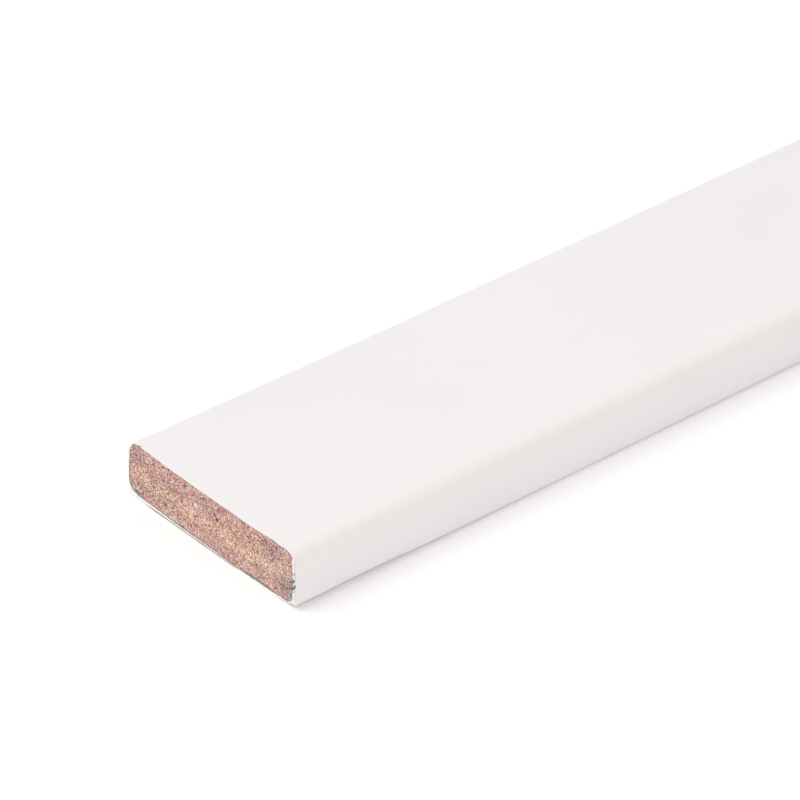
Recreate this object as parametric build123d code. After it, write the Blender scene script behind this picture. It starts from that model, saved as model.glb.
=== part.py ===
from build123d import *
import os

# Cover strip: one planed and primed hardwood strip with rounded arrises and square sawn ends.
# It lies on its back: X runs along the strip, Y across its width and Z up out of its show face.
# The origin is at the middle of the back face.

# Stock sizes, in millimetres
strip_length = 2400.0
strip_width = 45.0
strip_thickness = 11.0

# Rounding of the long edges: the two beside the show face, and the two beside the back
face_arris_radius = 3.0
back_arris_radius = 1.0


def planed_section():
    """Section across the strip, width along its own X and thickness up from the back along its own Y."""
    blank = Rectangle(strip_width, strip_thickness, align=(Align.CENTER, Align.MIN))
    face_corners = blank.vertices().group_by(Axis.Y)[-1]
    face_rounded = fillet(face_corners, face_arris_radius)
    back_corners = face_rounded.vertices().group_by(Axis.Y)[0]
    return fillet(back_corners, back_arris_radius)


def sawn_strip():
    """The section run along the strip and sawn off square, half the length to each side of the origin."""
    return extrude(Plane.YZ * planed_section(), amount=strip_length / 2, both=True)


os.makedirs("parts", exist_ok=True)
cover_strip = sawn_strip()
cover_strip.label = "cover_strip"
export_step(cover_strip, "parts/cover_strip.step")
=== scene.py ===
"""Looks of a cover strip: planed hardwood with rounded edges, primed white, its two sawn ends left bare."""

import logging
import math
from collections.abc import Callable, Iterator
from contextlib import contextmanager
from dataclasses import dataclass, field
from enum import Enum
from typing import ClassVar

import bmesh
import bpy
import numpy as np
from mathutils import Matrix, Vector, noise


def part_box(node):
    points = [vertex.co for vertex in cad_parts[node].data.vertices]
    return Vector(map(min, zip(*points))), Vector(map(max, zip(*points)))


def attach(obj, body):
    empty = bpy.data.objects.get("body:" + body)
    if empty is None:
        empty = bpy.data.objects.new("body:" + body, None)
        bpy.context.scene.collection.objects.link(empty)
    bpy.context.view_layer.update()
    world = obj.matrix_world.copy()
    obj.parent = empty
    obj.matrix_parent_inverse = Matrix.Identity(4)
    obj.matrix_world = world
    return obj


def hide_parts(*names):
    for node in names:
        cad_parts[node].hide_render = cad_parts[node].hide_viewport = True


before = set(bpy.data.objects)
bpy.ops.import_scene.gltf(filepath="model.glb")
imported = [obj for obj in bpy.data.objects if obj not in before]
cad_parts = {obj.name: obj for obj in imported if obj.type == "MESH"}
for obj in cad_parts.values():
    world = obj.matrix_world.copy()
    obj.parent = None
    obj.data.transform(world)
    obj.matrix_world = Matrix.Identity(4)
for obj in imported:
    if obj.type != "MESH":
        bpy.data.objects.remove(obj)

LOG = logging.getLogger("cover_strip")
MM = 0.001
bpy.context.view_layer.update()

Colour = tuple[float, float, float]
Limits = tuple[float, float]
Number = "float | Signal"

WHITE: Colour = (1.0, 1.0, 1.0)
BLACK: Colour = (0.0, 0.0, 0.0)

# Noise patterns and random values swing about this one.
NOISE_MIDDLE = 0.5


def srgb(red: int, green: int, blue: int) -> Colour:
    """Turns a colour as a screen shows it into the linear values that shaders use.

    Args:
        red: Red, 0 to 255.
        green: Green, 0 to 255.
        blue: Blue, 0 to 255.

    Returns:
        The same colour, linear, 0 to 1.
    """

    def linear(level: int) -> float:
        """One channel, linear."""
        share = level / 255
        return share / 12.92 if share <= 0.04045 else ((share + 0.055) / 1.055) ** 2.4

    return linear(red), linear(green), linear(blue)


class StripEnd(Enum):
    """The two sawn ends, each with the way it faces along X."""

    LEFT = -1
    RIGHT = 1


class LongSide(Enum):
    """The two long sides, each with the way it faces along Y."""

    FRONT = -1
    BACK = 1


class Finish(Enum):
    """The strip's material slots, in order."""

    PRIMED = 0
    SAWN = 1


class Signal:
    """A shader socket that can be used in Python sums."""

    def __init__(self, graph: "Graph", socket: bpy.types.NodeSocket) -> None:
        """Keeps the graph that the socket belongs to."""
        self.graph = graph
        self.socket = socket

    def __add__(self, other: Number) -> "Signal":
        """self + other."""
        return self.graph.maths("ADD", self, other)

    def __radd__(self, other: Number) -> "Signal":
        """other + self."""
        return self.graph.maths("ADD", other, self)

    def __sub__(self, other: Number) -> "Signal":
        """self - other."""
        return self.graph.maths("SUBTRACT", self, other)

    def __rsub__(self, other: Number) -> "Signal":
        """other - self."""
        return self.graph.maths("SUBTRACT", other, self)

    def __mul__(self, other: Number) -> "Signal":
        """self * other."""
        return self.graph.maths("MULTIPLY", self, other)

    def __rmul__(self, other: Number) -> "Signal":
        """other * self."""
        return self.graph.maths("MULTIPLY", other, self)

    def __truediv__(self, other: Number) -> "Signal":
        """self / other."""
        return self.graph.maths("DIVIDE", self, other)

    def __rtruediv__(self, other: Number) -> "Signal":
        """other / self."""
        return self.graph.maths("DIVIDE", other, self)

    def __abs__(self) -> "Signal":
        """The value without its sign."""
        return self.graph.maths("ABSOLUTE", self)

    def at_least(self, low: Number) -> "Signal":
        """The value, or low where that is more."""
        return self.graph.maths("MAXIMUM", self, low)

    def at_most(self, high: Number) -> "Signal":
        """The value, or high where that is less."""
        return self.graph.maths("MINIMUM", self, high)

    def step(self, low: float, high: float) -> "Signal":
        """A soft step that is 0 below low and 1 above high.

        Args:
            low: Where the step starts.
            high: Where it ends.

        Returns:
            The step, 0 to 1.
        """
        ramp = self.graph.node(
            "ShaderNodeMapRange",
            {"interpolation_type": "SMOOTHSTEP"},
            {"Value": self, "From Min": low, "From Max": high},
        )
        return self.graph.signal(ramp, "Result")


class Graph:
    """The nodes of one material or of the world."""

    def __init__(self, tree: bpy.types.NodeTree) -> None:
        """Takes over a node tree and empties it."""
        self.tree = tree
        tree.nodes.clear()

    def node(self, kind: str, settings: dict | None = None, sockets: dict | None = None) -> bpy.types.Node:
        """Adds a node.

        Args:
            kind: The node's type.
            settings: Its properties, set first. The key stops gives a colour ramp's stops.
            sockets: Values or signals for its inputs, by name or number.

        Returns:
            The new node.
        """
        made = self.tree.nodes.new(kind)
        for key, value in (settings or {}).items():
            if key == "stops":
                self._set_stops(made.color_ramp, value)
            else:
                setattr(made, key, value)
        for key, value in (sockets or {}).items():
            if isinstance(value, Signal):
                self.tree.links.new(value.socket, made.inputs[key])
            else:
                made.inputs[key].default_value = self._fitted(made.inputs[key], value)
        return made

    @staticmethod
    def _set_stops(ramp: bpy.types.ColorRamp, stops: list[tuple[float, Colour]]) -> None:
        """Gives a colour ramp its stops.

        Args:
            ramp: The colour ramp.
            stops: A position and a colour for each stop.
        """
        while len(ramp.elements) < len(stops):
            ramp.elements.new(1.0)
        for element, (position, colour) in zip(ramp.elements, stops):
            element.position = position
            element.color = (*colour, 1.0)

    @staticmethod
    def _fitted(socket: bpy.types.NodeSocket, value: object) -> object:
        """A colour socket wants a fourth number, which colours here leave out."""
        return (*value, 1.0) if socket.type == "RGBA" and len(value) == 3 else value

    def signal(self, node: bpy.types.Node, output: str | int = 0) -> Signal:
        """One of a node's outputs, ready for sums."""
        return Signal(self, node.outputs[output])

    def maths(self, operation: str, *values: Number) -> Signal:
        """Adds a Math node.

        Args:
            operation: Its operation.
            values: What it works on, signals or numbers.

        Returns:
            Its result.
        """
        return self.signal(self.node("ShaderNodeMath", {"operation": operation}, dict(enumerate(values))))

    def vector(self, operation: str, first: Signal, second: Colour | Signal) -> Signal:
        """Adds a Vector Math node.

        Args:
            operation: Its operation.
            first: The first vector.
            second: The second vector.

        Returns:
            Its result.
        """
        made = self.node("ShaderNodeVectorMath", {"operation": operation}, {0: first, 1: second})
        return self.signal(made)

    def mix(self, share: Number, first: Colour | Signal, second: Colour | Signal) -> Signal:
        """Mixes two colours.

        Args:
            share: How much of the second there is, 0 to 1.
            first: The first colour.
            second: The second colour.

        Returns:
            The mixed colour.
        """
        # A Mix node has sockets for every kind of value: 6, 7 and the output 2 are its colours.
        mixer = self.node("ShaderNodeMix", {"data_type": "RGBA"}, {0: share, 6: first, 7: second})
        return self.signal(mixer, 2)

    def place_mm(self) -> Signal:
        """The surface's place on the part, in millimetres."""
        coordinates = self.signal(self.node("ShaderNodeTexCoord"), "Object")
        return self.vector("MULTIPLY", coordinates, (1 / MM, 1 / MM, 1 / MM))

    def axes(self, place: Signal) -> tuple[Signal, Signal, Signal]:
        """The X, Y and Z of a place."""
        parts = self.node("ShaderNodeSeparateXYZ", None, {0: place})
        return self.signal(parts, 0), self.signal(parts, 1), self.signal(parts, 2)

    def noise(self, place: Signal, size: float, detail: float = 2.0, roughness: float = 0.5) -> Signal:
        """Soft random blotches.

        Args:
            place: Where the pattern is read, in millimetres.
            size: A blotch's size in millimetres.
            detail: How many finer layers it has.
            roughness: How strong those layers are.

        Returns:
            The pattern, about 0 to 1 with its middle at 0.5.
        """
        made = self.node(
            "ShaderNodeTexNoise",
            {"noise_dimensions": "3D"},
            {"Vector": place, "Scale": 1 / size, "Detail": detail, "Roughness": roughness},
        )
        return self.signal(made, "Fac")

    def cells(self, place: Signal, size: float, output: str = "Distance") -> Signal:
        """Random cells.

        Args:
            place: Where the pattern is read, in millimetres.
            size: A cell's size in millimetres.
            output: Distance for the way to a cell's middle, Color for a random colour a cell.

        Returns:
            The chosen output.
        """
        made = self.node("ShaderNodeTexVoronoi", {"feature": "F1"}, {"Vector": place, "Scale": 1 / size})
        return self.signal(made, output)

    def attribute(self, name: str) -> Signal:
        """A number that the mesh carries at its points."""
        made = self.node("ShaderNodeAttribute", {"attribute_type": "GEOMETRY", "attribute_name": name})
        return self.signal(made, "Fac")


@dataclass(frozen=True)
class Surface:
    """What a finish gives the shader."""

    colour: Signal
    roughness: Signal
    relief_mm: Signal


@dataclass(frozen=True)
class WhitePrimer:
    """Sprayed satin white primer, thin over the rounded edges. Sizes are in millimetres."""

    # Names the mesh's marks for where contact shade is painted along the front lower edge.
    PAINTED_CONTACT_SHADE: ClassVar[str] = "painted_contact_shade"

    coat: Colour = srgb(246, 242, 241)
    thin_coat: Colour = srgb(246, 241, 235)
    thin_share: float = 0.9
    thin_below: float = 0.35
    # Painted contact shade: a dark line along the front lower edge near the ends, where the strip meets the
    # floor.
    contact_shade: Colour = srgb(116, 104, 102)
    contact_shade_share: float = 0.9
    cloud_size: float = 38.0
    cloud_tint: Colour = srgb(242, 238, 238)
    cloud_share: float = 0.5
    cloud_limits: Limits = (0.4, 0.7)
    stipple_size: float = 0.55
    stipple_height: float = 0.004
    sag_size: float = 9.0
    sag_height: float = 0.012
    roughness: float = 0.46
    roughness_swing: float = 0.08

    def surface(self, graph: Graph, place: Signal, section: "Section") -> Surface:
        """Makes the finish's patterns.

        Args:
            graph: The material's nodes.
            place: The place on the part, in millimetres.
            section: The strip's section, for its rounded edges.

        Returns:
            The primer's colour, roughness and relief.
        """
        _, across, up = graph.axes(place)
        reach = section.face_arris
        past_side = (abs(across) - (section.width / 2 - reach)).at_least(0.0)
        past_face = (up - (section.thickness - (1 + self.thin_below) * reach)).at_least(0.0)
        thin = past_side * past_face / reach**2
        clouds = graph.noise(place, self.cloud_size, detail=3.0)
        stipple = graph.noise(place, self.stipple_size, detail=1.0)
        sags = graph.noise(place, self.sag_size, detail=1.0)
        coat = graph.mix(clouds.step(*self.cloud_limits) * self.cloud_share, self.coat, self.cloud_tint)
        colour = graph.mix((thin * self.thin_share).at_most(1.0), coat, self.thin_coat)
        # Paints the contact shade in where the mesh marks it.
        colour = graph.mix(graph.attribute(self.PAINTED_CONTACT_SHADE) * self.contact_shade_share, colour, self.contact_shade)
        roughness = self.roughness + (clouds - NOISE_MIDDLE) * self.roughness_swing
        return Surface(colour, roughness, stipple * self.stipple_height + sags * self.sag_height)


@dataclass(frozen=True)
class EndMark:
    """A stain or a spot in the sawn wood, or a painted glint or patch of painted shade on it, in
    millimetres from the strip's middle and its back.
    """

    across: float
    up: float
    wide: float
    tall: float
    colour: Colour
    strength: float


@dataclass(frozen=True)
class SawnHardwood:
    """Cross-cut reddish hardwood: growth zones, rays, open pores and pale fibre ends.

    Sizes and depths are in millimetres. Heights and sides are shares of the thickness and the width.
    """

    lowest_zone: Colour = srgb(218, 183, 170)
    lower_zone: Colour = srgb(208, 160, 142)
    middle_zone: Colour = srgb(232, 192, 164)
    upper_zone: Colour = srgb(214, 161, 144)
    top_zone: Colour = srgb(218, 167, 150)
    zone_heights: tuple[float, ...] = (0.08, 0.18, 0.29, 0.41, 0.48, 0.66, 0.92)
    zone_wander: float = 0.3
    wander_size: float = 5.0
    red_mottle: Colour = srgb(184, 106, 88)
    pale_mottle: Colour = srgb(224, 200, 182)
    tan_mottle: Colour = srgb(200, 174, 148)
    mauve_mottle: Colour = srgb(208, 146, 138)
    mottle_size: float = 2.4
    hue_size: float = 2.0
    hue_shift: tuple[float, float, float] = (0.0, 40.0, 0.0)
    mottle_roughness: float = 0.6
    mottle_limits: Limits = (0.5, 0.72)
    mottle_share: float = 0.64
    ray_colour: Colour = srgb(156, 78, 66)
    ray_width: float = 0.32
    ray_length: float = 3.2
    ray_limits: Limits = (0.6, 0.74)
    ray_heights: Limits = (0.35, 0.8)
    ray_least: float = 0.25
    ray_share: float = 0.65
    fibre_tint: Colour = (0.58, 0.64, 0.65)
    fibre_size: float = 0.155
    fibre_roughness: float = 0.7
    fibre_swing: float = 7.0
    cell_size: float = 0.27
    cell_swing: float = 0.66
    fleck_size: float = 0.4
    fleck_colour: Colour = srgb(255, 240, 224)
    fleck_limits: Limits = (0.12, 0.3)
    fleck_patch_size: float = 2.2
    fleck_patch_limits: Limits = (0.36, 0.56)
    fleck_share: float = 0.8
    darkest: Colour = srgb(80, 48, 40)
    # Pores darken with their depth: partly their own dark colour, partly painted shade in the pits.
    pore_colour_and_shade: Colour = srgb(86, 46, 38)
    pore_shade_depths: Limits = (0.12, 0.28)
    pore_shade_share: float = 0.88
    pore_roughness: float = 0.1
    rim_colour: Colour = srgb(116, 98, 94)
    rim_share: float = 0.75
    rim_limits: Limits = (0.08, 0.34)
    rim_face_heights: Limits = (0.8, 0.95)
    rim_face_sides: Limits = (0.3, 0.4)
    mark_limits: Limits = (0.2, 1.2)
    ragged_size: float = 0.5
    ragged_swing: float = 1.4
    ragged_from: float = 0.7
    fibre_stretch: float = 0.02
    roughness: float = 0.82
    fuzz_height: float = 0.03
    stains: tuple[EndMark, ...] = (
        EndMark(17.8, 5.7, 1.1, 0.8, srgb(216, 206, 176), 0.55),
        EndMark(11.3, 4.8, 2.6, 1.2, srgb(220, 176, 140), 0.45),
        EndMark(-14.6, 9.5, 1.2, 0.9, srgb(146, 62, 54), 0.65),
        EndMark(-16.5, 9.0, 3.4, 2.2, srgb(174, 126, 116), 0.6),
        EndMark(11.5, 7.5, 3.2, 1.2, srgb(178, 134, 122), 0.45),
        EndMark(18.2, 3.8, 3.2, 1.0, srgb(182, 142, 128), 0.5),
        EndMark(20.0, 9.0, 3.6, 2.0, srgb(168, 132, 120), 0.5),
        EndMark(-20.2, 3.3, 3.2, 2.8, srgb(146, 118, 108), 0.7),
    )
    spots_and_painted_light: tuple[EndMark, ...] = (
        # A painted glint: a bright highlight on the wood, not a pale mark in it.
        EndMark(4.2, 7.2, 0.55, 0.36, srgb(246, 248, 252), 1.0),
        EndMark(2.9, 7.4, 0.6, 0.5, srgb(240, 222, 214), 0.6),
        EndMark(0.2, 7.0, 0.8, 1.1, srgb(180, 160, 176), 0.6),
        EndMark(-1.6, 7.2, 0.46, 0.5, srgb(78, 14, 10), 1.0),
        EndMark(-1.0, 7.9, 0.3, 0.34, srgb(100, 48, 38), 0.85),
        EndMark(4.9, 7.1, 0.3, 0.32, srgb(96, 60, 56), 0.85),
        EndMark(2.6, 9.3, 0.34, 0.4, srgb(92, 44, 34), 0.85),
        EndMark(1.9, 9.7, 0.26, 0.34, srgb(98, 50, 40), 0.8),
        EndMark(6.9, 9.8, 0.34, 0.44, srgb(100, 48, 38), 0.85),
        EndMark(-2.2, 9.3, 0.26, 0.4, srgb(104, 52, 44), 0.8),
        EndMark(3.8, 5.2, 0.34, 0.3, srgb(92, 48, 34), 0.9),
        EndMark(4.4, 4.7, 0.28, 0.28, srgb(100, 54, 40), 0.85),
        EndMark(0.6, 4.8, 0.3, 0.36, srgb(108, 66, 44), 0.8),
        EndMark(11.6, 5.6, 0.32, 0.28, srgb(84, 50, 36), 0.9),
        EndMark(11.1, 4.5, 0.36, 0.3, srgb(76, 42, 30), 0.95),
        EndMark(-6.4, 4.9, 0.3, 0.3, srgb(100, 56, 42), 0.8),
        EndMark(15.4, 9.5, 0.26, 0.6, srgb(120, 58, 50), 0.75),
        EndMark(-12.5, 1.3, 0.26, 0.3, srgb(92, 62, 50), 0.8),
        EndMark(-12.3, 0.6, 4.8, 0.4, srgb(140, 132, 116), 0.8),
        # Painted shade: a grey patch at the back lower corner, where the edge turns under.
        EndMark(20.1, 1.4, 1.4, 0.5, srgb(128, 120, 126), 0.75),
        EndMark(20.25, 2.1, 0.42, 0.26, srgb(246, 240, 242), 0.9),
    )

    def surface(self, graph: Graph, place: Signal, section: "Section") -> Surface:
        """Makes the finish's patterns.

        Args:
            graph: The material's nodes.
            place: The place on the part, in millimetres.
            section: The strip's section, for its thickness.

        Returns:
            The wood's colour, roughness and relief.
        """
        fibres = graph.vector("MULTIPLY", place, (self.fibre_stretch, 1.0, 1.0))
        recess = graph.attribute(SawnEnds.RECESS)
        colour = self._zones(graph, fibres, section)
        colour = self._mottle(graph, fibres, colour)
        colour = self._rays(graph, fibres, colour, section)
        colour = self._marks(graph, fibres, colour, self.stains)
        colour = self._speckle(graph, fibres, colour)
        colour = self._marks(graph, fibres, colour, self.spots_and_painted_light)
        # Painted shade in the pits, with the pores' own dark colour: darker the deeper the end is sunk.
        pores = recess.step(*self.pore_shade_depths) * self.pore_shade_share
        colour = graph.mix(pores, colour, self.pore_colour_and_shade)
        colour = self._rim(graph, fibres, colour, section)
        fuzz = graph.noise(fibres, self.fibre_size) * self.fuzz_height
        return Surface(colour, self.roughness + pores * self.pore_roughness, fuzz)

    def _zones(self, graph: Graph, fibres: Signal, section: "Section") -> Signal:
        """Makes growth zones through the thickness, wandering a little across the width.

        Args:
            graph: The material's nodes.
            fibres: The place on the part, drawn out along the fibres.
            section: The strip's section.

        Returns:
            The zones' colour.
        """
        _, _, up = graph.axes(fibres)
        wander = (graph.noise(fibres, self.wander_size) - NOISE_MIDDLE) * self.zone_wander
        zones = (
            self.lowest_zone,
            self.lower_zone,
            self.lower_zone,
            self.middle_zone,
            self.middle_zone,
            self.upper_zone,
            self.top_zone,
        )
        stops = list(zip(self.zone_heights, zones))
        ramp = graph.node("ShaderNodeValToRGB", {"stops": stops}, {"Fac": up / section.thickness + wander})
        return graph.signal(ramp, "Color")

    def _mottle(self, graph: Graph, fibres: Signal, colour: Signal) -> Signal:
        """Adds reddish, pale, tan and mauve blotches of a millimetre or two.

        Args:
            graph: The material's nodes.
            fibres: The place on the part, drawn out along the fibres.
            colour: The colour so far.

        Returns:
            The colour with the blotches.
        """
        blotch = graph.noise(fibres, self.mottle_size, 3.0, self.mottle_roughness)
        elsewhere = graph.vector("ADD", fibres, self.hue_shift)
        hue = graph.noise(elsewhere, self.hue_size, 2.0, self.mottle_roughness)
        patches = (
            (blotch, self.red_mottle),
            (1 - blotch, self.pale_mottle),
            (hue, self.tan_mottle),
            (1 - hue, self.mauve_mottle),
        )
        for place, tint in patches:
            colour = graph.mix(place.step(*self.mottle_limits) * self.mottle_share, colour, tint)
        return colour

    def _rays(self, graph: Graph, fibres: Signal, colour: Signal, section: "Section") -> Signal:
        """Adds thin reddish rays that run up through the thickness, most of them in its upper part.

        Args:
            graph: The material's nodes.
            fibres: The place on the part, drawn out along the fibres.
            colour: The colour so far.
            section: The strip's section.

        Returns:
            The colour with the rays.
        """
        stretched = graph.vector("MULTIPLY", fibres, (1.0, 1 / self.ray_width, 1 / self.ray_length))
        _, _, up = graph.axes(fibres)
        rays = graph.noise(stretched, 1.0, detail=1.0).step(*self.ray_limits)
        high = (up / section.thickness).step(*self.ray_heights) * (1 - self.ray_least) + self.ray_least
        return graph.mix(rays * high * self.ray_share, colour, self.ray_colour)

    def _marks(self, graph: Graph, fibres: Signal, colour: Signal, marks: tuple[EndMark, ...]) -> Signal:
        """Adds stains or spots, among them a painted glint and a patch of painted shade, each with a ragged
        edge.

        Args:
            graph: The material's nodes.
            fibres: The place on the part, drawn out along the fibres.
            colour: The colour so far.
            marks: The stains, or the spots with the painted glint and shade.

        Returns:
            The colour with the marks.
        """
        _, across, up = graph.axes(fibres)
        ragged = (graph.noise(fibres, self.ragged_size) - NOISE_MIDDLE) * self.ragged_swing
        for mark in marks:
            off_across = (across - mark.across) / mark.wide
            off_up = (up - mark.up) / mark.tall
            uneven = ragged * min(mark.wide / self.ragged_from, 1.0)
            away = off_across * off_across + off_up * off_up + uneven
            colour = graph.mix((1 - away.step(*self.mark_limits)) * mark.strength, colour, mark.colour)
        return colour

    def _rim(self, graph: Graph, fibres: Signal, colour: Signal, section: "Section") -> Signal:
        """Adds a dark line where the wood meets the primer, all round but for the middle of the show face.

        Args:
            graph: The material's nodes.
            fibres: The place on the part, drawn out along the fibres.
            colour: The colour so far.
            section: The strip's section.

        Returns:
            The colour with the line.
        """
        _, across, up = graph.axes(fibres)
        near_face = (up / section.thickness).step(*self.rim_face_heights)
        near_sides = (abs(across) / section.width).step(*self.rim_face_sides)
        beside_face = near_face * (1 - near_sides)
        line = 1 - graph.attribute(SawnEnds.FILM_EDGE).step(*self.rim_limits)
        return graph.mix(line * (1 - beside_face) * self.rim_share, colour, self.rim_colour)

    def _speckle(self, graph: Graph, fibres: Signal, colour: Signal) -> Signal:
        """Adds fibre ends: light and dark specks, random grains and many pale flecks.

        Args:
            graph: The material's nodes.
            fibres: The place on the part, drawn out along the fibres.
            colour: The colour so far.

        Returns:
            The colour with the fibre ends.
        """
        noise_specks = graph.noise(fibres, self.fibre_size, 2.0, self.fibre_roughness)
        specks = (noise_specks - NOISE_MIDDLE) * self.fibre_swing
        cells = graph.cells(fibres, self.cell_size, "Color")
        grains = graph.node("ShaderNodeSeparateColor", None, {0: cells})
        grain = (graph.signal(grains, 0) - NOISE_MIDDLE) * self.cell_swing
        tint = {0: self.fibre_tint, "Scale": specks + grain}
        change = graph.signal(graph.node("ShaderNodeVectorMath", {"operation": "SCALE"}, tint))
        lit = graph.vector("MAXIMUM", graph.vector("ADD", colour, change), self.darkest)
        fleck = 1 - graph.cells(fibres, self.fleck_size).step(*self.fleck_limits)
        chosen = graph.noise(fibres, self.fleck_patch_size).step(*self.fleck_patch_limits)
        return graph.mix(fleck * chosen * self.fleck_share, lit, self.fleck_colour)


@dataclass(frozen=True)
class ContactShadeStretch:
    """A stretch across the strip, in millimetres, where painted contact shade darkens the primer's lower
    edge.
    """

    start: float
    stop: float
    soft: float
    width: float
    share: float


@dataclass(frozen=True)
class PrimedHardwood:
    """The strip's two materials: the primer alone, and the sawn end where it meets the wood.

    Sizes and depths are in millimetres, and the painted shade's heights are shares of the thickness.
    """

    primer: WhitePrimer = WhitePrimer()
    wood: SawnHardwood = SawnHardwood()
    cut_film: Colour = srgb(254, 252, 252)
    loose_film: Colour = srgb(234, 230, 232)
    film_soft: float = 0.03
    end_depths: Limits = (0.08, 0.02)
    loose_from: Limits = (0.25, 0.6)
    loose_above: Limits = (0.8, 2.0)
    # Painted contact shade: a grey line in patches along the primer's lower edge at the sawn ends, where
    # the strip meets the floor.
    end_contact_shade: Colour = srgb(150, 130, 124)
    end_shade_soft: float = 0.07
    end_shade_stretches: tuple[ContactShadeStretch, ...] = (
        ContactShadeStretch(-6.5, 17.5, 1.5, 0.24, 1.0),
        ContactShadeStretch(-22.2, -20.7, 0.3, 0.1, 0.9),
    )
    end_shade_heights: Limits = (0.1, 0.2)
    end_shade_patch_size: float = 2.6
    end_shade_patch_limits: Limits = (0.4, 0.6)
    end_shade_least: float = 0.75
    # Deep torn places in the primer darken: painted shade in the slits, and the darker wood showing in
    # them.
    torn_slit_shade: Colour = srgb(92, 84, 82)
    torn_shade_depths: Limits = (0.06, 0.26)
    fray_size: float = 0.17
    fray_reach: float = 0.14
    bump_strength: float = 1.0

    def primed(self, section: "Section") -> bpy.types.Material:
        """Makes the material of the long faces.

        Args:
            section: The strip's section.

        Returns:
            The material.
        """
        graph, material = self._start("white_primer")
        surface = self.primer.surface(graph, graph.place_mm(), section)
        self._finish(graph, surface)
        return material

    def sawn(self, section: "Section", length: float) -> bpy.types.Material:
        """Makes the material of the sawn ends, primer at the rim and bare wood inside it.

        Args:
            section: The strip's section.
            length: The strip's length, in millimetres.

        Returns:
            The material.
        """
        graph, material = self._start("sawn_end")
        place = graph.place_mm()
        coat = self.primer.surface(graph, place, section)
        bare = self.wood.surface(graph, place, section)
        fray = (graph.noise(place, self.fray_size) - NOISE_MIDDLE) * self.fray_reach
        share = (graph.attribute(SawnEnds.FILM_EDGE) + fray).step(-self.film_soft, self.film_soft)
        # Painted shade in the slits, with the darker wood in them, by how deep the surface is torn.
        torn = graph.attribute(SawnEnds.RECESS).step(*self.torn_shade_depths)
        along, across, up = graph.axes(place)
        on_end = abs(along).step(*(length / 2 - depth for depth in self.end_depths)).at_least(torn)
        # Only the two corners that have slits are on the same side of 0 along and across the strip.
        beside_slits = (along * across).step(0.0, 1.0) * up.step(*self.loose_above)
        loose = (graph.attribute(SawnEnds.FILM_EDGE) * -1).step(*self.loose_from) * beside_slits
        end_shade = self._end_contact_shade(graph, place, section)
        # The cut primer gets the painted contact shade along its lower edge.
        film = graph.mix(end_shade, graph.mix(loose, self.cut_film, self.loose_film), self.end_contact_shade)
        coat_colour = graph.mix(torn, graph.mix(on_end, coat.colour, film), self.torn_slit_shade)
        surface = Surface(
            graph.mix(share, coat_colour, bare.colour),
            coat.roughness + (bare.roughness - coat.roughness) * share,
            coat.relief_mm + (bare.relief_mm - coat.relief_mm) * share,
        )
        self._finish(graph, surface)
        return material

    def _end_contact_shade(self, graph: Graph, place: Signal, section: "Section") -> Signal:
        """Paints contact shade as a grey line along the primer's lower edge, over part of the strip's
        width.

        Args:
            graph: The material's nodes.
            place: The place on the part, in millimetres.
            section: The strip's section.

        Returns:
            How soiled the primer is, 0 to 1.
        """
        _, across, up = graph.axes(place)
        patches = graph.noise(place, self.end_shade_patch_size, detail=1.0).step(*self.end_shade_patch_limits)
        low = 1 - (up / section.thickness).step(*self.end_shade_heights)
        from_rim = graph.attribute(SawnEnds.FROM_RIM)
        lines = []
        for stretch in self.end_shade_stretches:
            begun = across.step(stretch.start - stretch.soft, stretch.start + stretch.soft)
            ended = across.step(stretch.stop - stretch.soft, stretch.stop + stretch.soft)
            line = 1 - from_rim.step(stretch.width, stretch.width + self.end_shade_soft)
            lines.append(line * begun * (1 - ended) * stretch.share)
        return sum(lines) * low * (self.end_shade_least + patches * (1 - self.end_shade_least))

    @staticmethod
    def _start(name: str) -> tuple[Graph, bpy.types.Material]:
        """Makes an empty material.

        Args:
            name: Its name.

        Returns:
            Its nodes and the material.
        """
        material = bpy.data.materials.new(name)
        material.use_nodes = True
        return Graph(material.node_tree), material

    def _finish(self, graph: Graph, surface: Surface) -> None:
        """Joins a surface to the shader.

        Args:
            graph: The material's nodes.
            surface: The surface.
        """
        bump = graph.node(
            "ShaderNodeBump",
            None,
            {"Strength": self.bump_strength, "Distance": MM, "Height": surface.relief_mm},
        )
        shader = graph.node(
            "ShaderNodeBsdfPrincipled",
            None,
            {
                "Base Color": surface.colour,
                "Roughness": surface.roughness,
                "Normal": graph.signal(bump, "Normal"),
            },
        )
        graph.node("ShaderNodeOutputMaterial", None, {"Surface": graph.signal(shader, "BSDF")})


@contextmanager
def editing(piece: bpy.types.Object, elements: str = "FACE") -> Iterator[None]:
    """Opens a piece in edit mode with nothing selected, and closes it again.

    Args:
        piece: The mesh object.
        elements: What selecting picks: VERT, EDGE or FACE.

    Yields:
        Nothing, while the piece is open.
    """
    bpy.context.view_layer.objects.active = piece
    bpy.ops.object.mode_set(mode="EDIT")
    bpy.ops.mesh.select_mode(type=elements)
    bpy.ops.mesh.select_all(action="DESELECT")
    yield
    bpy.ops.object.mode_set(mode="OBJECT")


def select_faces(piece: bpy.types.Object, wanted: Callable[[Vector], bool]) -> None:
    """Selects faces of the piece in edit mode by their middle.

    Args:
        piece: The mesh object, in edit mode.
        wanted: Says of a face's middle whether the face is wanted.
    """
    cage = bmesh.from_edit_mesh(piece.data)
    for face in cage.faces:
        face.select_set(wanted(face.calc_center_median()))
    bmesh.update_edit_mesh(piece.data)


def ramp(value: float, low: float, high: float) -> float:
    """A straight rise from 0 at low to 1 at high."""
    return min(max((value - low) / (high - low), 0.0), 1.0)


def window(value: float, low: float, high: float, soft: float) -> float:
    """1 between low and high, falling to 0 over a soft margin outside them."""
    return ramp(value, low - soft, low) * (1 - ramp(value, high, high + soft))


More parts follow.
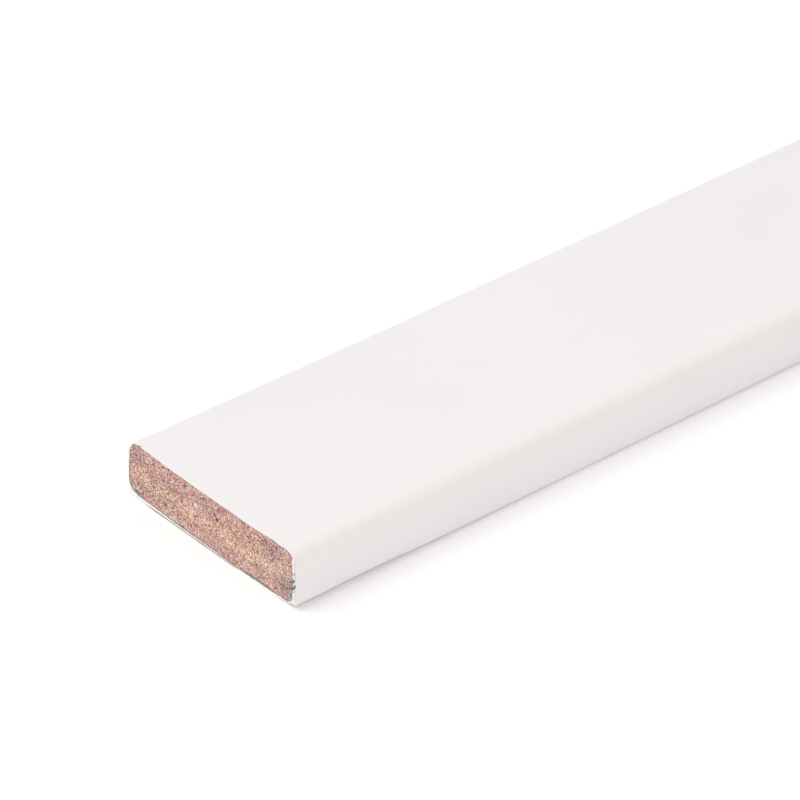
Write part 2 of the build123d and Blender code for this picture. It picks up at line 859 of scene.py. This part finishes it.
@dataclass(frozen=True)
class Section:
    """The planed section, in millimetres: width along Y and thickness along Z, with four rounded edges."""

    width: float
    thickness: float
    face_arris: float = 3.0
    back_arris: float = 0.6
    chords: int = 8

    def corner_cuts(self) -> Iterator[tuple[Vector, Vector]]:
        """Planes that trim a square section to its rounded edges.

        Yields:
            A point on each plane and its outward normal, in millimetres, across X.
        """
        turn = math.pi / 2 / self.chords
        for side in LongSide:
            for radius, middle, upward in (
                (self.face_arris, self.thickness - self.face_arris, 1),
                (self.back_arris, self.back_arris, -1),
            ):
                centre = Vector((0, side.value * (self.width / 2 - radius), middle))
                for chord in range(self.chords):
                    angle = (chord + 0.5) * turn
                    outward = Vector((0, side.value * math.cos(angle), upward * math.sin(angle)))
                    yield centre + outward * radius * math.cos(turn / 2), outward

    def inset_of(self, across: np.ndarray, up: np.ndarray) -> np.ndarray:
        """How far places lie inside the outline.

        Args:
            across: Their Y, in millimetres.
            up: Their Z, in millimetres.

        Returns:
            The way to the nearest point of the outline, in millimetres.
        """
        radius = np.where(up > self.thickness / 2, self.face_arris, self.back_arris)
        past_y = np.abs(across) - (self.width / 2 - radius)
        past_z = np.abs(up - self.thickness / 2) - (self.thickness / 2 - radius)
        round_part = np.hypot(np.maximum(past_y, 0), np.maximum(past_z, 0))
        return radius - round_part - np.minimum(np.maximum(past_y, past_z), 0)

    def way_round(self, across: np.ndarray, up: np.ndarray) -> np.ndarray:
        """How far round the outline places lie, from 0 at the middle of the back to 1, by their bearing.

        Args:
            across: Their Y, in millimetres.
            up: Their Z, in millimetres.

        Returns:
            The share of the outline, counted as the sides of the plain rectangle.
        """
        half_w = self.width / 2
        half_t = self.thickness / 2
        rise = up - half_t
        steep = np.abs(across) / half_w < np.abs(rise) / half_t
        over = np.where(rise > 0, half_w + 2 * half_t + half_w - across, across)
        beside = np.where(across > 0, half_w + half_t + rise, 3 * half_w + 3 * half_t - rise)
        whole = 4 * (half_w + half_t)
        return (np.where(steep, over, beside) / whole) % 1.0


@dataclass(frozen=True)
class FilmBand:
    """A wide band of primer along one edge of a sawn end, between two heights, in millimetres."""

    end: StripEnd
    side: LongSide
    width: float
    low: float
    high: float


@dataclass(frozen=True)
class RimPatch:
    """A place at a sawn end's rim where the primer is thicker, in millimetres.

    Where its extra is below 0, the primer is chipped back.
    """

    end: StripEnd
    across: float
    up: float
    wide: float
    tall: float
    extra: float


@dataclass(frozen=True)
class Slit:
    """A slit torn in the primer at a sawn end, in millimetres from the strip's side and its back."""

    end: StripEnd
    side: LongSide
    inward: float
    up: float
    long: float
    tall: float
    share: float


@dataclass(frozen=True)
class SawnEnds:
    """The two sawn ends, in millimetres: what the saw left of the primer, and the bare wood's relief."""

    FILM_EDGE: ClassVar[str] = "film_edge"
    FROM_RIM: ClassVar[str] = "from_rim"
    RECESS: ClassVar[str] = "recess"
    WOOD_GROUP: ClassVar[str] = "sawn_wood"
    SLIT_GROUP: ClassVar[str] = "torn_slits"

    film: float = 0.14
    film_below: float = 0.36
    film_below_from: Limits = (-8.0, -2.0)
    film_below_back: float = 0.3
    film_below_back_from: Limits = (9.0, 17.0)
    film_below_front: float = 0.24
    film_below_front_from: Limits = (5.0, 12.0)
    film_below_heights: Limits = (0.8, 1.6)
    film_waver: float = 0.07
    waver_size: float = 0.7
    waver_shift: float = 50.0
    band_soft: float = 1.2
    band_fade: float = 2.5
    patch_limits: Limits = (0.4, 1.0)
    kerf_step: float = 0.05
    kerf_slope: float = 0.12
    pore_spacing: float = 0.56
    pore_radii: Limits = (0.16, 0.42)
    pore_depth: float = 0.2
    vessel_spacing: float = 1.4
    vessel_radii: Limits = (0.06, 0.17)
    vessel_depth: float = 0.3
    fibre_size: float = 0.3
    fibre_height: float = 0.09
    slit_depth: float = 0.5
    slit_slope: float = 0.6
    slit_limits: Limits = (0.5, 1.1)
    slit_grain: float = 0.3
    slit_shift: float = 9.0
    slit_ragged: float = 0.5
    reach: float = 0.7
    bands: tuple[FilmBand, ...] = (
        FilmBand(StripEnd.LEFT, LongSide.FRONT, 1.0, 0.0, 8.8),
        FilmBand(StripEnd.RIGHT, LongSide.BACK, 0.8, 1.5, 9.0),
    )
    slits: tuple[Slit, ...] = (
        Slit(StripEnd.LEFT, LongSide.FRONT, 0.6, 6.65, 0.32, 0.3, 0.5),
        Slit(StripEnd.LEFT, LongSide.FRONT, 0.5, 5.9, 0.28, 0.2, 0.4),
        Slit(StripEnd.LEFT, LongSide.FRONT, 0.78, 5.25, 0.5, 0.22, 0.8),
        Slit(StripEnd.LEFT, LongSide.FRONT, 0.95, 4.7, 0.3, 0.2, 0.6),
        Slit(StripEnd.LEFT, LongSide.FRONT, 0.58, 4.2, 0.36, 0.3, 0.95),
        Slit(StripEnd.LEFT, LongSide.FRONT, 0.86, 3.6, 0.42, 0.24, 0.9),
        Slit(StripEnd.LEFT, LongSide.FRONT, 0.7, 2.95, 0.34, 0.2, 0.6),
        Slit(StripEnd.RIGHT, LongSide.BACK, 0.5, 6.9, 0.36, 0.28, 0.7),
        Slit(StripEnd.RIGHT, LongSide.BACK, 0.6, 5.4, 0.4, 0.24, 0.9),
        Slit(StripEnd.RIGHT, LongSide.BACK, 0.45, 3.5, 0.34, 0.3, 0.6),
    )
    patches: tuple[RimPatch, ...] = (
        RimPatch(StripEnd.LEFT, 21.9, 0.9, 1.9, 1.6, 0.66),
        RimPatch(StripEnd.LEFT, 22.5, 8.8, 2.0, 3.4, 0.3),
        RimPatch(StripEnd.LEFT, -12.5, 11.0, 8.0, 1.2, 0.2),
        RimPatch(StripEnd.LEFT, -22.4, 1.2, 1.5, 1.9, 0.35),
        RimPatch(StripEnd.LEFT, -20.0, 0.5, 1.8, 1.2, -0.24),
        RimPatch(StripEnd.LEFT, -19.8, 10.8, 3.2, 1.4, 0.22),
        RimPatch(StripEnd.LEFT, 19.2, 11.0, 0.4, 0.4, -0.34),
        RimPatch(StripEnd.LEFT, -13.0, 11.0, 0.3, 0.3, -0.24),
        RimPatch(StripEnd.LEFT, -15.2, 11.0, 0.4, 0.4, -0.3),
        RimPatch(StripEnd.LEFT, -16.3, 11.0, 0.3, 0.3, -0.24),
        RimPatch(StripEnd.LEFT, -18.4, 11.0, 0.4, 0.4, -0.3),
        RimPatch(StripEnd.RIGHT, -21.9, 0.9, 1.7, 1.7, 0.56),
        RimPatch(StripEnd.RIGHT, 6.0, 11.0, 0.6, 0.6, -0.44),
        RimPatch(StripEnd.RIGHT, -9.5, 11.0, 0.5, 0.5, -0.34),
    )

    def film_width(self, end: StripEnd, across: float, up: float, section: Section) -> float:
        """How far the primer reaches in over the sawn end at a place near its rim.

        Args:
            end: The end.
            across: The place's Y, in millimetres.
            up: Its Z, in millimetres.
            section: The strip's section.

        Returns:
            The reach in millimetres, below 0 where the primer is chipped back along the strip.
        """
        waver = noise.noise(Vector((self.waver_shift * end.value, across, up)) / self.waver_size)
        thicker = self.film_below * ramp(across, *self.film_below_from)
        thicker += self.film_below_back * ramp(across, *self.film_below_back_from)
        thicker += self.film_below_front * ramp(-across, *self.film_below_front_from)
        width = self.film + thicker * (1 - ramp(up, *self.film_below_heights)) + self.film_waver * waver
        for band in self.bands:
            if band.end is end:
                inward = section.width / 2 - band.side.value * across
                share = window(up, band.low, band.high, self.band_soft)
                share *= 1 - ramp(inward, band.width, self.band_fade * band.width)
                width += (band.width + self.film_waver * waver - width) * share
        for patch in self.patches:
            if patch.end is end:
                away = math.hypot((across - patch.across) / patch.wide, (up - patch.up) / patch.tall)
                width += patch.extra * (1 - ramp(away, *self.patch_limits))
        return width

    def slit_share(self, end: StripEnd, across: float, up: float, section: Section) -> float:
        """How far a place on a sawn end is torn open.

        Args:
            end: The end.
            across: The place's Y, in millimetres.
            up: Its Z, in millimetres.
            section: The strip's section.

        Returns:
            0 where the surface is whole to 1 at the bottom of a slit.
        """
        share = 0.0
        place = Vector((self.slit_shift * end.value, across, up))
        ragged = self.slit_ragged * noise.noise(place / self.slit_grain)
        for slit in self.slits:
            if slit.end is end:
                inward = section.width / 2 - slit.side.value * across - slit.inward
                rise = up - slit.up + self.slit_slope * inward
                away = math.hypot(inward / slit.long, rise / slit.tall) + ragged
                share = max(share, slit.share * (1 - ramp(away, *self.slit_limits)))
        return share


@dataclass
class CoverStrip:
    """The strip, in millimetres: one planed piece with primed long faces and bare sawn ends."""

    CUP_GROUP: ClassVar[str] = "cup"
    PLANED_GROUP: ClassVar[str] = "planed_faces"
    LOWER_GROUP: ClassVar[str] = "lower_edge"

    length: float
    section: Section
    ends: SawnEnds = SawnEnds()
    finish: PrimedHardwood = PrimedHardwood()
    cell: float = 0.75
    cuts: int = 4
    end_rings: tuple[float, ...] = (0.25, 0.6, 1.5, 4.0)
    near_end: float = 200.0
    near_spacing: float = 8.0
    far_spacing: float = 25.0
    cup: float = 0.6
    cup_between: float = 0.06
    cup_run: float = 50.0
    wave_size: float = 40.0
    wave_height: float = 0.16
    wave_start: Limits = (1.0, 12.0)
    edge_inward: float = 6.0
    edge_heights: Limits = (0.3, 5.0)
    edge_lifts: tuple[tuple[float, float], ...] = (
        (0.0, 0.7),
        (7.0, 0.62),
        (15.0, 0.85),
        (28.0, 0.34),
        (60.0, 0.2),
    )
    # Painted contact shade on the front lower edge: its strength by the way behind the sawn end, where it
    # starts and is full across, and the heights where it fades.
    edge_contact_shade: tuple[tuple[float, float], ...] = ((0.0, 1.0), (25.0, 0.8), (60.0, 0.0))
    edge_shade_inward: Limits = (0.32, 0.18)
    edge_shade_heights: Limits = (0.2, 0.38)
    edge_wave_size: float = 22.0
    edge_wave_height: float = 0.4
    smooth_angle: float = math.radians(40)
    map_margin: float = 0.008
    map_overlap: float = 0.02
    piece: bpy.types.Object | None = field(default=None, init=False)

    def build(self) -> bpy.types.Object:
        """Models the strip and dresses it.

        Returns:
            The finished piece.
        """
        self._add_end_grid()
        with editing(self.piece):
            self._round_edges()
            self._run_to_length()
            self._refine_ends()
        still = self._points()
        self._group_end_points(still)
        self._group_long_points(still)
        self._work_ends()
        self._note_recess(still)
        self._work_long_faces()
        self._map_for_baking(still)
        self._dress()
        return self.piece

    def _add_end_grid(self) -> None:
        """Starts from a grid the size of the section, at the left sawn end and facing out of it."""
        bpy.ops.object.select_all(action="DESELECT")
        bpy.ops.mesh.primitive_grid_add(
            x_subdivisions=round(self.section.thickness / self.cell),
            y_subdivisions=round(self.section.width / self.cell),
            size=1.0,
            location=(-self.length / 2 * MM, 0, self.section.thickness / 2 * MM),
            rotation=(0, -math.pi / 2, 0),
        )
        self.piece = bpy.context.object
        self.piece.scale = (self.section.thickness * MM, self.section.width * MM, 1.0)
        self.piece.name = "primed_strip"
        self.piece.data.name = "primed_strip"
        bpy.ops.object.transform_apply(location=True, rotation=True, scale=True)

    def _round_edges(self) -> None:
        """Trims the grid's corners to the rounded edges."""
        for point, outward in self.section.corner_cuts():
            bpy.ops.mesh.select_all(action="SELECT")
            bpy.ops.mesh.bisect(plane_co=point * MM, plane_no=outward, clear_outer=True, threshold=MM * MM)

    def _run_to_length(self) -> None:
        """Extrudes the section along the strip, in short steps near its ends and longer ones between."""
        bpy.ops.mesh.select_all(action="SELECT")
        for step in self._steps():
            bpy.ops.mesh.extrude_region_move(TRANSFORM_OT_translate={"value": (step * MM, 0, 0)})
        bpy.ops.mesh.select_all(action="SELECT")
        bpy.ops.mesh.normals_make_consistent(inside=False)

    def _steps(self) -> list[float]:
        """Works out the extrusion's steps along the strip.

        Returns:
            The steps, in millimetres.
        """
        starts = (0.0, *self.end_rings)
        close = [after - before for before, after in zip(starts, self.end_rings)]
        near = self._even_steps(self.near_end - self.end_rings[-1], self.near_spacing)
        far = self._even_steps(self.length - 2 * self.near_end, self.far_spacing)
        return [*close, *near, *far, *near, *reversed(close)]

    @staticmethod
    def _even_steps(run: float, spacing: float) -> list[float]:
        """Fills a run with equal steps of about a spacing."""
        count = round(run / spacing)
        return [run / count] * count

    def _refine_ends(self) -> None:
        """Divides the sawn ends, and the long faces' edge beside them, finely enough for their relief."""
        bpy.ops.mesh.select_all(action="DESELECT")
        bpy.ops.mesh.select_face_by_sides(number=4, type="GREATER", extend=False)
        bpy.ops.mesh.quads_convert_to_tris(quad_method="BEAUTY", ngon_method="BEAUTY")
        inner = (self.length / 2 - self.ends.reach) * MM
        select_faces(self.piece, lambda middle: abs(middle.x) > inner)
        bpy.ops.mesh.subdivide(number_cuts=self.cuts)

    def _points(self) -> np.ndarray:
        """Reads the mesh's points.

        Returns:
            The points, in millimetres, one a row.
        """
        flat = np.empty(len(self.piece.data.vertices) * 3)
        self.piece.data.vertices.foreach_get("co", flat)
        return flat.reshape(-1, 3) / MM

    def _group_end_points(self, points: np.ndarray) -> None:
        """Groups the sawn ends' points for their relief, and notes how far the primer's edge is from each.

        Args:
            points: The mesh's points before any relief, in millimetres.
        """
        wood = self.piece.vertex_groups.new(name=self.ends.WOOD_GROUP)
        slits = self.piece.vertex_groups.new(name=self.ends.SLIT_GROUP)
        behind = self.length / 2 - np.abs(points[:, 0])
        rims = self.section.inset_of(points[:, 1], points[:, 2]) - behind
        edges = rims.copy()
        for number in np.flatnonzero(behind < self.ends.reach).tolist():
            along, across, up = points[number].tolist()
            end = StripEnd(int(math.copysign(1, along)))
            edges[number] -= self.ends.film_width(end, across, up, self.section)
            if behind[number] < MM:
                wood.add([number], ramp(edges[number], 0.0, self.ends.kerf_slope), "REPLACE")
                slits.add([number], self.ends.slit_share(end, across, up, self.section), "REPLACE")
        self._keep(self.ends.FROM_RIM, rims)
        self._keep(self.ends.FILM_EDGE, edges)

    def _keep(self, name: str, values: np.ndarray) -> None:
        """Keeps a value for each of the mesh's points, under a name that the finish reads."""
        attribute = self.piece.data.attributes.new(name, "FLOAT", "POINT")
        attribute.data.foreach_set("value", values.astype(np.float32))

    def _group_long_points(self, points: np.ndarray) -> None:
        """Groups the points for the cup across the strip, its slight waves and its lifted front lower edge,
        and notes where contact shade is painted on that edge.

        Args:
            points: The mesh's points before any relief, in millimetres.
        """
        cup = self.piece.vertex_groups.new(name=self.CUP_GROUP)
        planed = self.piece.vertex_groups.new(name=self.PLANED_GROUP)
        lower = self.piece.vertex_groups.new(name=self.LOWER_GROUP)
        half = self.section.width / 2
        inner_edge = half - self.edge_inward
        shade_start, shade_full = (half - inward for inward in self.edge_shade_inward)
        contact_shade = np.zeros(len(points))
        lift_places, lifts = zip(*self.edge_lifts)
        shade_places, shades = zip(*self.edge_contact_shade)
        for number, (along, across, up) in enumerate(points.tolist()):
            behind = self.length / 2 - abs(along)
            end_share = 1 - (1 - self.cup_between / self.cup) * ramp(behind, 0.0, self.cup_run)
            cup.add([number], end_share * (across / half) ** 2 * up / self.section.thickness, "REPLACE")
            if up > self.section.back_arris:
                planed.add([number], ramp(behind, *self.wave_start), "REPLACE")
            if -across > inner_edge and up < self.edge_heights[1]:
                share = ramp(-across, inner_edge, half) * (1 - ramp(up, *self.edge_heights))
                lower.add([number], share * np.interp(behind, lift_places, lifts), "REPLACE")
                # Painted contact shade along the front lower edge, near the ends.
                on_edge = ramp(-across, shade_start, shade_full) * (1 - ramp(up, *self.edge_shade_heights))
                contact_shade[number] = on_edge * np.interp(behind, shade_places, shades)
        self._keep(WhitePrimer.PAINTED_CONTACT_SHADE, contact_shade)

    def _work_ends(self) -> None:
        """Sinks the sawn wood behind the primer, opens its pores, raises its fibres and tears the rim."""
        ends = self.ends
        self._displace("kerf_step", ends.WOOD_GROUP, -ends.kerf_step)
        pores = self._pits("pores", ends.pore_spacing, *ends.pore_radii)
        self._displace("pores", ends.WOOD_GROUP, -ends.pore_depth, pores)
        vessels = self._pits("vessels", ends.vessel_spacing, *ends.vessel_radii)
        self._displace("vessels", ends.WOOD_GROUP, -ends.vessel_depth, vessels)
        fibres = self._clouds("fibres", ends.fibre_size)
        self._displace("fibres", ends.WOOD_GROUP, ends.fibre_height, fibres, NOISE_MIDDLE)
        self._displace("slits", ends.SLIT_GROUP, -ends.slit_depth)

    def _work_long_faces(self) -> None:
        """Dishes the show face, lifts the front lower edge and waves the faces, all slightly."""
        self._displace("cup", self.CUP_GROUP, self.cup, direction="Z")
        # The lower edge's weights are its lift in millimetres.
        self._displace("lift", self.LOWER_GROUP, 1.0, direction="Z")
        waves = self._clouds("waves", self.wave_size)
        self._displace("waves", self.PLANED_GROUP, self.wave_height, waves, NOISE_MIDDLE)
        edge_waves = self._clouds("edge_waves", self.edge_wave_size)
        self._displace("edge_waves", self.LOWER_GROUP, self.edge_wave_height, edge_waves, NOISE_MIDDLE, "Z")

    @staticmethod
    def _clouds(name: str, size: float) -> bpy.types.Texture:
        """Makes a soft random texture.

        Args:
            name: Its name.
            size: The size of its clouds, in millimetres.

        Returns:
            The texture.
        """
        texture = bpy.data.textures.new(name, "CLOUDS")
        texture.noise_scale = size * MM
        texture.noise_depth = 1
        return texture

    @staticmethod
    def _pits(name: str, spacing: float, floor: float, rim: float) -> bpy.types.Texture:
        """Makes a texture of scattered round pits.

        Args:
            name: Its name.
            spacing: How far apart the pits are, in millimetres.
            floor: The radius of a pit's floor, as a share of the spacing.
            rim: The radius of its rim, as a share of the spacing.

        Returns:
            The texture, 1 in a pit and 0 between them.
        """
        texture = bpy.data.textures.new(name, "VORONOI")
        texture.noise_scale = spacing * MM
        texture.use_color_ramp = True
        inside, outside = texture.color_ramp.elements
        inside.position = floor
        inside.color = (*WHITE, 1.0)
        outside.position = rim
        outside.color = (*BLACK, 1.0)
        return texture

    def _displace(
        self,
        name: str,
        group: str,
        height: float,
        texture: bpy.types.Texture | None = None,
        middle: float = 0.0,
        direction: str = "NORMAL",
    ) -> None:
        """Moves a group's points by a texture, and applies the move.

        Args:
            name: The modifier's name.
            group: The vertex group, whose weights scale the move.
            height: The move at the texture's full value, in millimetres, outwards.
            texture: The texture, or None for an even move.
            middle: The texture's value that moves nothing.
            direction: NORMAL, or an axis.
        """
        modifier = self.piece.modifiers.new(name, "DISPLACE")
        modifier.vertex_group = group
        modifier.strength = height * MM
        modifier.mid_level = middle
        modifier.direction = direction
        modifier.texture_coords = "LOCAL"
        modifier.texture = texture
        bpy.context.view_layer.objects.active = self.piece
        bpy.ops.object.modifier_apply(modifier=name)

    def _note_recess(self, still: np.ndarray) -> None:
        """Keeps how deep each point lies behind its sawn end, for the finish.

        Args:
            still: The points before the relief, in millimetres.
        """
        self._keep(self.ends.RECESS, np.abs(still[:, 0]) - np.abs(self._points()[:, 0]))

    def _map_for_baking(self, still: np.ndarray) -> None:
        """Lays the faces out flat: each sawn end large, and the long faces unrolled below them.

        Args:
            still: The points before the relief, in millimetres.
        """
        mesh = self.piece.data
        for old in list(mesh.uv_layers):
            mesh.uv_layers.remove(old)
        layer = mesh.uv_layers.new(name="OFBake")
        corners = np.empty(len(mesh.loops), dtype=np.int64)
        mesh.loops.foreach_get("vertex_index", corners)
        totals = np.empty(len(mesh.polygons), dtype=np.int64)
        mesh.polygons.foreach_get("loop_total", totals)
        faces = np.repeat(np.arange(len(totals)), totals)
        middles = np.stack([np.bincount(faces, still[corners, axis]) / totals for axis in range(3)], axis=1)
        along, across, up = (still[corners, axis] for axis in range(3))
        margin = self.map_margin
        spread = 1 - 2 * margin
        wide = (across / self.section.width + 0.5) * spread + margin
        tall = up / self.section.width * spread
        end_height = self.section.thickness / self.section.width * spread
        on_left = middles[faces, 0] < -self.length / 2 + MM
        on_right = middles[faces, 0] > self.length / 2 - MM
        round_share = self.section.way_round(across, up)
        middle_share = self.section.way_round(middles[faces, 1], middles[faces, 2])
        round_share += np.round(middle_share - round_share)
        low = margin
        high = 1 - 2 * end_height - 4 * margin
        u = (along / self.length + 0.5) * spread + margin
        v = low + (round_share + self.map_overlap) / (1 + 2 * self.map_overlap) * (high - low)
        u = np.where(on_left | on_right, wide, u)
        v = np.where(on_left, 1 - margin - end_height + tall, v)
        v = np.where(on_right, 1 - 3 * margin - 2 * end_height + tall, v)
        layer.data.foreach_set("uv", np.stack([u, v], axis=1).astype(np.float32).ravel())

    def _dress(self) -> None:
        """Gives the long faces the primer and the ends the sawn finish, with smooth shading."""
        self.piece.data.materials.clear()
        self.piece.data.materials.append(self.finish.primed(self.section))
        self.piece.data.materials.append(self.finish.sawn(self.section, self.length))
        inner = (self.length / 2 - self.ends.reach) * MM
        with editing(self.piece):
            select_faces(self.piece, lambda middle: abs(middle.x) > inner)
            self.piece.active_material_index = Finish.SAWN.value
            bpy.ops.object.material_slot_assign()
        bpy.ops.object.select_all(action="DESELECT")
        self.piece.select_set(True)
        bpy.ops.object.shade_smooth_by_angle(angle=self.smooth_angle)

    def join_frame(self) -> None:
        """Lets the piece stand for the strip's solid."""
        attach(self.piece, "root")
        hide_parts("cover_strip")


@dataclass(frozen=True)
class FarLight:
    """A broad soft light far away, so that it lights the whole strip evenly. Its spread is in degrees."""

    name: str
    toward: tuple[float, float, float]
    spread: float
    strength: float
    colour: Colour = WHITE

    def hang(self) -> None:
        """Adds the light, shining from the side that it is toward."""
        light = bpy.data.lights.new(self.name, "SUN")
        light.energy = self.strength
        light.color = self.colour
        light.angle = math.radians(self.spread)
        lamp = bpy.data.objects.new(self.name, light)
        lamp.location = self.toward
        lamp.rotation_euler = (-Vector(self.toward)).to_track_quat("-Z", "Y").to_euler()
        bpy.context.scene.collection.objects.link(lamp)


@dataclass(frozen=True)
class Softbox:
    """A soft square lamp near the left sawn end, placed from its middle, in metres."""

    name: str
    place: tuple[float, float, float]
    size: float
    power: float

    def hang(self, start: Vector) -> None:
        """Adds the lamp, aimed at the left sawn end.

        Args:
            start: The left sawn end's middle.
        """
        light = bpy.data.lights.new(self.name, "AREA")
        light.size = self.size
        light.energy = self.power
        lamp = bpy.data.objects.new(self.name, light)
        lamp.visible_camera = False
        lamp.location = start + Vector(self.place)
        lamp.rotation_euler = (-Vector(self.place)).to_track_quat("-Z", "Y").to_euler()
        bpy.context.scene.collection.objects.link(lamp)


@dataclass(frozen=True)
class Studio:
    """A pale floor under soft light from all round, a little stronger from behind and from the front.

    The floor's size is in metres, and it lies a drop, in millimetres, under the strip.
    """

    floor_size: float = 80.0
    floor_drop: float = 0.06
    floor_colour: Colour = (0.885, 0.875, 0.88)
    floor_roughness: float = 0.9
    floor_lift: float = 0.195
    sky_colour: Colour = (1.03, 0.975, 1.0)
    sky_strength: float = 0.57
    key: FarLight = FarLight("key_light", (-0.34, 0.42, 0.84), 46.0, 1.16, (0.88, 1.0, 0.95))
    fill: FarLight = FarLight("fill_light", (-0.25, -0.92, 0.30), 56.0, 0.61)
    softbox: Softbox = Softbox("left_softbox", (-0.14, -0.12, 0.28), 0.2, 0.08)

    def build(self, start: Vector) -> None:
        """Makes the floor, the sky and the lamps.

        Args:
            start: The left sawn end's middle.
        """
        self._floor()
        self._sky()
        self.key.hang()
        self.fill.hang()
        self.softbox.hang(start)

    def _floor(self) -> None:
        """Lays a floor just under the strip, which shows white where nothing shades it."""
        bpy.ops.object.select_all(action="DESELECT")
        bpy.ops.mesh.primitive_plane_add(size=self.floor_size, location=(0, 0, -self.floor_drop * MM))
        floor = bpy.context.object
        floor.name = "studio_floor"
        material = bpy.data.materials.new("pale_floor")
        material.use_nodes = True
        graph = Graph(material.node_tree)
        shader = graph.node(
            "ShaderNodeBsdfPrincipled",
            None,
            {
                "Base Color": self.floor_colour,
                "Roughness": self.floor_roughness,
                "Specular IOR Level": 0.0,
                "Emission Color": WHITE,
                "Emission Strength": self._seen(graph) * self.floor_lift,
            },
        )
        graph.node("ShaderNodeOutputMaterial", None, {"Surface": graph.signal(shader, "BSDF")})
        floor.data.materials.append(material)

    def _sky(self) -> None:
        """Gives even light from all round, which itself shows white."""
        world = bpy.data.worlds.new("soft_sky")
        bpy.context.scene.world = world
        world.use_nodes = True
        graph = Graph(world.node_tree)
        seen = self._seen(graph)
        sky = graph.node(
            "ShaderNodeBackground",
            None,
            {
                "Color": graph.mix(seen, self.sky_colour, WHITE),
                "Strength": self.sky_strength + seen * (1 - self.sky_strength),
            },
        )
        graph.node("ShaderNodeOutputWorld", None, {"Surface": graph.signal(sky, "Background")})

    @staticmethod
    def _seen(graph: Graph) -> Signal:
        """Tells what is seen from what only gives light.

        Args:
            graph: The nodes of the floor or the sky.

        Returns:
            1 for what is seen directly, in a reflection or through glass, and 0 for the rest.
        """
        path = graph.node("ShaderNodeLightPath")
        direct = graph.signal(path, "Is Camera Ray")
        mirrored = graph.signal(path, "Is Glossy Ray")
        through = graph.signal(path, "Is Transmission Ray")
        return direct.at_least(mirrored).at_least(through)


@dataclass(frozen=True)
class Viewpoint:
    """Where the strip is seen from: a long lens over its left sawn end. Lengths are in millimetres."""

    aim_along: float = 43.1
    aim_from_front: float = 24.3
    aim_up: float = 11.12
    distance: float = 927.2
    bearing: float = math.radians(40.34)
    height: float = math.radians(33.53)
    lens: float = 243.2
    sensor: float = 36.0
    nearest: float = 50.0
    farthest: float = 200000.0

    def build(self, strip: CoverStrip) -> None:
        """Sets the camera up.

        Args:
            strip: The strip, whose show face it looks at.
        """
        aim = Vector(
            (
                -strip.length / 2 + self.aim_along,
                -strip.section.width / 2 + self.aim_from_front,
                self.aim_up,
            )
        )
        level = math.cos(self.height)
        ahead = Vector(
            (
                level * math.sin(self.bearing),
                level * math.cos(self.bearing),
                -math.sin(self.height),
            )
        )
        lens = bpy.data.cameras.new("viewpoint")
        lens.lens = self.lens
        lens.sensor_width = self.sensor
        lens.clip_start = self.nearest * MM
        lens.clip_end = self.farthest * MM
        camera = bpy.data.objects.new("viewpoint", lens)
        camera.location = (aim - ahead * self.distance) * MM
        camera.rotation_euler = ahead.to_track_quat("-Z", "Y").to_euler()
        bpy.context.scene.collection.objects.link(camera)
        bpy.context.scene.camera = camera


def main() -> None:
    """Builds the strip to the size of its solid in the part, then the studio and the camera, and logs each
    step.
    """
    low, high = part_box("cover_strip")
    size = (high - low) / MM
    strip = CoverStrip(size.x, Section(size.y, size.z))
    piece = strip.build()
    strip.join_frame()
    LOG.info("%s: %d faces", piece.name, len(piece.data.polygons))
    Studio().build(Vector((low.x, 0, 0)))
    LOG.info("studio: floor, sky and lamps")
    Viewpoint().build(strip)
    LOG.info("viewpoint: set")
    bpy.context.scene.view_settings.view_transform = "Standard"


if __name__ == "__main__":
    logging.basicConfig(level=logging.INFO, format="%(name)s %(message)s")
    main()
